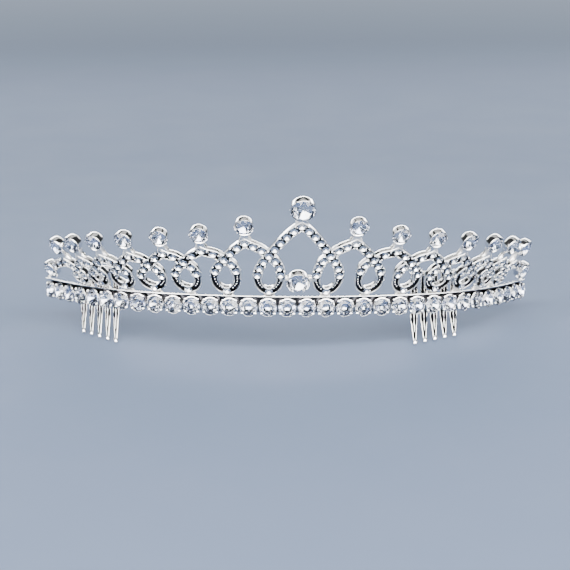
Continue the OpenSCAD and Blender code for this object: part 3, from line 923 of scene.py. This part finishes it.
def small_places(shape):
    """Places of one side's small stones, without the one at the middle peak, and of the points between neighbours."""
    v = shape.v
    stones, between = [shape.peak(k) for k in range(1, v.side_arches + 1)], []

    def set_along(path, lengths, ends):
        stones.extend(shape.place(path, t)[0] for t in lengths[1 : len(lengths) - ends])
        between.extend(shape.place(path, (a + b) / 2) for a, b in zip(lengths, lengths[1:]))

    def leg(path, ends):
        length = shape.lengths(path)[-1]
        n = max(math.floor(length / v.small_pitch), 2)
        set_along(path, [0.0] + [length * i / n - 0.1 for i in range(1, n)] + [length - 0.001], ends)

    leg([shape.peak(v.side_arches)] + shape.end_leg()[:-3], 0)
    for k in range(v.side_arches):
        stones += [shape.crossing(k), Vector((shape.crossing(k).x, v.loop_bottom_h))]
        for arch, way in ((k, 1), (k + 1, -1)):
            leg([shape.peak(arch)] + shape.leg(arch, way) + [shape.crossing(k)], 1)
            path = [shape.crossing(k)] + shape.side(arch, way)
            n = side_count(shape, shape.lengths(path)[-1])
            set_along(path, [i * v.small_pitch for i in range(n + 1)], 0)
    return stones, between


class TIARA_OT_cups(bpy.types.Operator):
    """Makes the cups of the top stones, the end stones and the centre stone"""

    bl_idname = "tiara.cups"
    bl_label = "Stone Cups"

    def cups(self, shape, width, depth, seats):
        cup = turned_cup(width / 2, depth, shape.stone_in(width) / 2, shape.girdle(width, depth), 40)
        return copy_to(cup, seats)

    def execute(self, context):
        shape = Shape()
        v = shape.v
        arches = range(1, v.side_arches + 1)
        seats = [shape.seat(side * shape.top_s(k), shape.top_h(k)) for side in (-1, 1) for k in arches]
        seats += shape.seats([(shape.end_s, shape.end_h)])
        cups = self.cups(shape, v.top_cup, v.top_cup_depth, seats)
        cups += self.cups(shape, v.crown_cup, v.large_cup_depth, [shape.seat(0, shape.top_h(0))])
        cups += self.cups(shape, v.centre_cup, v.large_cup_depth, [shape.seat(0, shape.centre_h)])
        finish_metal(cups, "stone_cups", shape, 40, silver("silver_cups"))
        return {"FINISHED"}


class TIARA_OT_joints(bpy.types.Operator):
    """Makes the soldered necks, feet, tabs and end wires"""

    bl_idname = "tiara.joints"
    bl_label = "Soldered Joints"

    # Rings of a neck and of a foot: heights from its high and from its low end, with widths and bulges
    neck = (
        ((0, 2.3, 1), (-0.45, 2.0, 1)),
        ((0.35, 2.0, 1), (0, 2.3, 1), (-0.35, 2.7, 1), (-0.8, 3.0, 1), (-1.3, 3.1, 0.9)),
    )
    foot = (((0, 2.9, 0.9), (-0.3, 2.6, 1), (-0.62, 2.55, 1)), ((0.2, 2.7, 1), (0, 3.1, 0.95)))
    sides, roundness = 16, 0.6  # of a ring, from 0 for square to 1 for round
    wire, tab = 0.4, 0.8  # radii of an end wire and of a tab of the centre cup

    def flared(self, shape, s, ends, levels, back, front):
        """A waisted piece of solder with rounded edges, from rings at several heights."""
        turns, rings = [2 * math.pi * j / self.sides for j in range(self.sides)], []
        for h, w, bulge in [(end + up, w, bulge) for end, part in zip(ends, levels) for up, w, bulge in part]:
            ring = []
            for a in turns:
                x, y = [math.copysign(abs(c) ** self.roundness, c) for c in (math.cos(a), math.sin(a))]
                ring.append(shape.point(s + w / 2 * x, h, back + (front - back) * (0.5 + 0.5 * y * bulge)))
            rings.append(ring)
        return loft(rings)

    def execute(self, context):
        shape = Shape()
        v = shape.v
        back, made = -v.channel_depth / 2 + 0.15, []
        for side in (-1, 1):
            for k in range(1 if side < 0 else 0, v.side_arches + 1):
                cup = v.top_cup if k else v.crown_cup
                ends = (shape.top_h(k) - cup / 2 + 0.5, shape.peak(k).y + 1.45)
                neck = (side * shape.top_s(k), ends, self.neck, back - 0.1, v.channel_depth / 2 - 0.12)
                made.append(self.flared(shape, *neck))
            for k in range(v.side_arches):
                ends = (v.loop_bottom_h - v.channel_w / 2 + 0.2, shape.rail_h + v.rail_thick - 0.1)
                foot = (side * shape.crossing(k).x, ends, self.foot, back, shape.groove - 0.1)
                made.append(self.flared(shape, *foot))
            wire = [shape.point(side * p.x, p.y, -0.1) for p in shape.end_wire()]
            made.append(tube(wire, self.wire, 12))
            tab = [shape.point(side * s, shape.centre_h + 0.4, -0.3) for s in (2.2, 2.8, 3.4, 4.0, 4.5)]
            made.append(tube(tab, self.tab, 12, (1.25, 1.0, 0.95, 1.05, 1.25), 0.7, Vector((0, 0, 1))))
        finish_metal(made, "soldered_joints", shape, 50, silver("silver_joints", 1200.0, 0.8, 0.00004))
        return {"FINISHED"}


class TIARA_OT_stones(bpy.types.Operator):
    """Cuts the foil backed stones of the band, the tops, the middle and the ends"""

    bl_idname = "tiara.stones"
    bl_label = "Cut Stones"

    turn = 0.6  # radians from each stone to the next, so that they don't all shine alike

    def stone(self, shape, template, node, cup, places):
        size, out = shape.stone_in(cup[0]), shape.girdle(*cup)
        seats = []
        for i, (s, h) in enumerate(places):
            seats.append(shape.seat(s, h, out) @ Matrix.Scale(size, 4) @ Matrix.Rotation(self.turn * i, 4, "Z"))
        finish(join(copies(template, seats)), f"cut_{node}", [node], shape)

    def execute(self, context):
        shape = Shape()
        v = shape.v
        template = brilliant()
        paint_stone(template, glass(), foil())
        band, top = (v.band_cup, v.band_cup_depth), (v.top_cup, v.top_cup_depth)
        crown, centre = (v.crown_cup, v.large_cup_depth), (v.centre_cup, v.large_cup_depth)
        for side, word in ((-1, "left"), (1, "right")):
            places = [(side * (i + 0.5) * v.pitch, 0) for i in range(v.stones // 2)]
            self.stone(shape, template, f"band_stones_{word}", band, places)
            self.stone(shape, template, f"end_stone_{word}", top, [(side * shape.end_s, shape.end_h)])
        for i in range(1, 2 * v.side_arches + 2):
            k = i - v.side_arches - 1
            place = (math.copysign(shape.top_s(abs(k)), k), shape.top_h(abs(k)))
            self.stone(shape, template, f"top_stone_{i:02d}", top if k else crown, [place])
        self.stone(shape, template, "centre_stone", centre, [(0, shape.centre_h)])
        bpy.data.objects.remove(template)
        return {"FINISHED"}


class TIARA_OT_small_stones(bpy.types.Operator):
    """Cuts the small stones and sets them along the channels"""

    bl_idname = "tiara.small_stones"
    bl_label = "Small Stones"

    def execute(self, context):
        shape = Shape()
        v = shape.v
        for side, word in ((-1, "left"), (1, "right")):
            # The stone at the middle peak belongs to the right half
            spots = small_places(shape)[0] + ([shape.peak(0)] if side > 0 else [])
            template = small_cut(v.small_stone, v.small_stone_h)
            paint_stone(template, glass(), foil("small_stone_foil", 1.0))
            seats = [shape.seat(side * p.x, p.y, shape.groove + 2.4 * shape.gap) for p in spots]
            node = f"small_stones_{word}"
            finish(join(copy_to(template, seats)), f"cut_{node}", [node], shape)
        return {"FINISHED"}


class TIARA_OT_combs(bpy.types.Operator):
    """Makes the two side combs, each with ribbed teeth between folded wires"""

    bl_idname = "tiara.combs"
    bl_label = "Side Combs"

    behind = 1.1  # from the back of the band's strip to the middle of a comb
    web, rib, rib_out = 0.07, 0.17, 0.1  # half thickness of the web, radius of a rib, and how far out its middle is
    shares = (0.3, 0.45, 0.6, 0.75, 0.88)  # of the way from the bend to the tip
    ball = (0.62, 0.62, 0.95)  # half sizes of a round tip

    def execute(self, context):
        shape = Shape()
        v = shape.v
        rest, up = shape.rest(), Vector((0, 0, 1))
        for name, s in (("left", v.left_s), ("right", v.right_s)):
            x, y, a = shape.plan(s)
            turn = Matrix.Translation((x, y, 0)) @ Matrix.Rotation(a, 4, "Z")
            back, half = shape.strip_back + self.behind, (v.teeth - 1) / 2 * v.tooth_pitch
            side_way, span = unit(turn.to_3x3() @ Vector((1, 0, 0))), half + v.tooth_pitch / 2
            bar = [turn @ Vector((-span + 2 * span * i / 24, back, v.comb_top)) for i in range(25)]
            made = [tube(bar, v.wire * 0.7, 12, [0.8] + [1.0] * 23 + [0.8], side_way=up)]
            fall = Vector((0, -math.tan(math.radians(v.tooth_slope)), -1))
            for i in range(v.teeth):
                tx = -half + i * v.tooth_pitch
                top, bend = [turn @ Vector((tx, back, z)) for z in (v.comb_top, v.bend_z)]
                high = (rest @ bend).z / MM
                drop = high - (rest @ (bend + fall)).z / MM
                tip = bend + fall * ((high - 1.25 * v.wire) / drop)
                made += self.tooth(shape, top, bend, tip, side_way)
            for part in made:
                if not part.data.materials:
                    paint(part, silver("silver_comb", 1000.0, 0.2))
            finish(join(made), f"side_comb_{name}", [f"comb_{name}"], shape, 50)
        return {"FINISHED"}

    def tooth(self, shape, top, bend, tip, side_way):
        """Two wires that run down, bend forward and meet in a round tip, with a ribbed web between them."""
        v, rest, up = shape.v, shape.rest(), Vector((0, 0, 1))
        spread, close = 0.31 * v.tooth_pitch, 0.5 * v.wire
        bow = unit(tip - bend)
        nodes = [top, bend + 2.2 * up, bend + 0.9 * up, bend + 0.12 * bow + 0.1 * up, bend + bow]
        nodes += [bend.lerp(tip, f) for f in (*self.shares, 0.97)]
        wide = [spread] * 5 + [spread + (close - spread) * f for f in (*self.shares, 1.0)]
        made = []
        for e in (-1, 1):
            wire = [p + e * w * side_way for p, w in zip(nodes, wide)]
            made.append(tube(wire, 0.22 * v.wire, side_way=side_way))
        normal = side_way.cross(bow)
        if normal.y > 0:
            normal = -normal
        corners = ((-1, 1), (1, 1), (1, -1), (-1, -1))
        web = [[p + e * w * side_way + d * self.web * normal for e, d in corners] for p, w in zip(nodes, wide)]
        # The front face of the web is darkened with painted shade.
        web = loft(web, [SHADED, PLAIN, PLAIN, PLAIN])
        paint(web, silver("silver_comb", 1000.0, 0.2), recess("comb_recess", 0.1))
        points = [p + self.rib_out * normal for p in nodes[:-3]]
        rib = tube(points, self.rib, 8, [1.0] * (len(points) - 3) + [0.9, 0.6, 0.15], side_way=side_way)
        ball = bead(1.0, 1.0, 10, 16)
        axes = Matrix((side_way, normal, bow)).transposed().to_4x4()
        ball.data.transform(Matrix.Translation(tip) @ axes @ Matrix.Diagonal((*self.ball, 1)))
        low = min((rest @ p.co).z for p in ball.data.vertices) / MM
        ball.data.transform(Matrix.Translation((0, 0, -low)))
        return made + [web, rib, ball]


class TIARA_OT_stage(bpy.types.Operator):
    """Sets the floor, the soft lights and the camera at the photograph's angle"""

    bl_idname = "tiara.stage"
    bl_label = "Stage"

    # The camera as fitted to the tiara in its worn position: distance, turn, height above the band's plane, roll,
    # and sideways and upward shift, with its focal length in widths of the picture
    distance, yaw, height, roll, right, up = 500.0, 0.0696, 0.129, -0.0119, 3.068, -5.767
    focal = 3.8278 * distance / 570

    def camera(self, shape):
        turn = Matrix.Rotation(self.yaw, 3, "Z")
        turn.transpose()
        forward = Vector((0, math.cos(self.height), -math.sin(self.height)))
        x, y = Vector((1, 0, 0)), Vector((0, math.sin(self.height), math.cos(self.height)))
        cr, sr = math.cos(self.roll), math.sin(self.roll)
        x, y = cr * x - sr * y, sr * x + cr * y
        place = turn @ (-self.distance * forward - self.right * x - self.up * y)
        rest = shape.rest()
        rotation = (rest.to_3x3() * (1 / MM)) @ turn @ Matrix((x, y, -forward)).transposed()
        data = bpy.data.cameras.new("camera")
        data.sensor_width = 36
        data.lens = 36 * self.focal
        data.clip_start, data.clip_end = 0.01, 50
        camera = bpy.data.objects.new("camera", data)
        bpy.context.collection.objects.link(camera)
        camera.matrix_world = Matrix.Translation(rest @ place) @ rotation.to_4x4()
        bpy.context.scene.camera = camera

    def lamp(self, name, power, size, place, aim=(0, 0, 0.02), size_y=None, tint=(1, 1, 1), spread=180):
        lamp = added(bpy.ops.object.light_add, type="AREA", location=place)
        lamp.name = name
        lamp.data.energy = power
        lamp.data.color = tint
        lamp.data.shape = "RECTANGLE"
        lamp.data.size, lamp.data.size_y = size, size_y or size
        lamp.data.spread = math.radians(spread)
        lamp.rotation_euler = (Vector(aim) - Vector(place)).to_track_quat("-Z", "Y").to_euler()

    def surroundings(self, c):
        """A dark studio with a pale horizon."""
        world = bpy.data.worlds.new("studio")
        world.use_nodes = True
        tree = world.node_tree
        sky = next(n for n in tree.nodes if n.type == "BACKGROUND")
        split = tree.nodes.new("ShaderNodeSeparateXYZ")
        fill(tree, split, Vector=tree.nodes.new("ShaderNodeTexCoord").outputs["Generated"])
        above = ranged(tree, split.outputs["Z"], 0.04, 0.12, 0.0, 1.0)
        fill(tree, sky, Color=mixed(tree, above, c.distance, c.sky))
        bpy.context.scene.world = world

    def execute(self, context):
        c = bpy.context.scene.tiara_stage
        floor = added(bpy.ops.mesh.primitive_plane_add, size=6)
        floor.name = "floor"
        paint(floor, floor_material())
        self.lamp("overhead", c.overhead, 0.50, (0.0, 0.30, 0.58), size_y=0.3)
        self.lamp("front", c.front, 1.5, (0.0, -0.52, 0.53), size_y=0.66, tint=(1, 0.98, 0.95))
        self.lamp("rim", c.rim, 1.1, (0.0, 0.62, 0.21), size_y=0.18, spread=80)
        for side in (-1, 1):
            self.lamp("side", c.side, 0.45, (0.62 * side, -0.34, 0.21), size_y=0.36, tint=(1, 0.97, 0.94))
            self.lamp("back", c.back, 0.30, (0.42 * side, 0.42, 0.36), size_y=0.26, tint=(0.97, 0.98, 1))
        self.surroundings(c)
        self.camera(Shape())
        return {"FINISHED"}


class TIARA_PT_panel(bpy.types.Panel):
    """Lists the steps that make the tiara"""

    bl_idname = "TIARA_PT_panel"
    bl_label = "Rhinestone Tiara"
    bl_space_type = "VIEW_3D"
    bl_region_type = "UI"
    bl_category = "Tiara"

    def draw(self, context):
        for step in STEPS:
            self.layout.operator(step.bl_idname)


STEPS = (
    TIARA_OT_band,
    TIARA_OT_channels,
    TIARA_OT_cups,
    TIARA_OT_joints,
    TIARA_OT_stones,
    TIARA_OT_small_stones,
    TIARA_OT_combs,
    TIARA_OT_stage,
)
POINTERS = {**GROUPS, "tiara_finish": TiaraFinish, "tiara_stage": TiaraStage}
CLASSES = (*POINTERS.values(), *STEPS, TIARA_PT_panel)


def register():
    for made in CLASSES:
        bpy.utils.register_class(made)
    for name, made in POINTERS.items():
        setattr(bpy.types.Scene, name, PointerProperty(type=made))


def unregister():
    for name in POINTERS:
        delattr(bpy.types.Scene, name)
    for made in reversed(CLASSES):
        bpy.utils.unregister_class(made)


def main():
    register()
    bpy.ops.tiara.band()
    bpy.ops.tiara.channels()
    bpy.ops.tiara.cups()
    bpy.ops.tiara.joints()
    bpy.ops.tiara.stones()
    bpy.ops.tiara.small_stones()
    bpy.ops.tiara.combs()
    bpy.ops.tiara.stage()


if __name__ == "__main__":
    main()
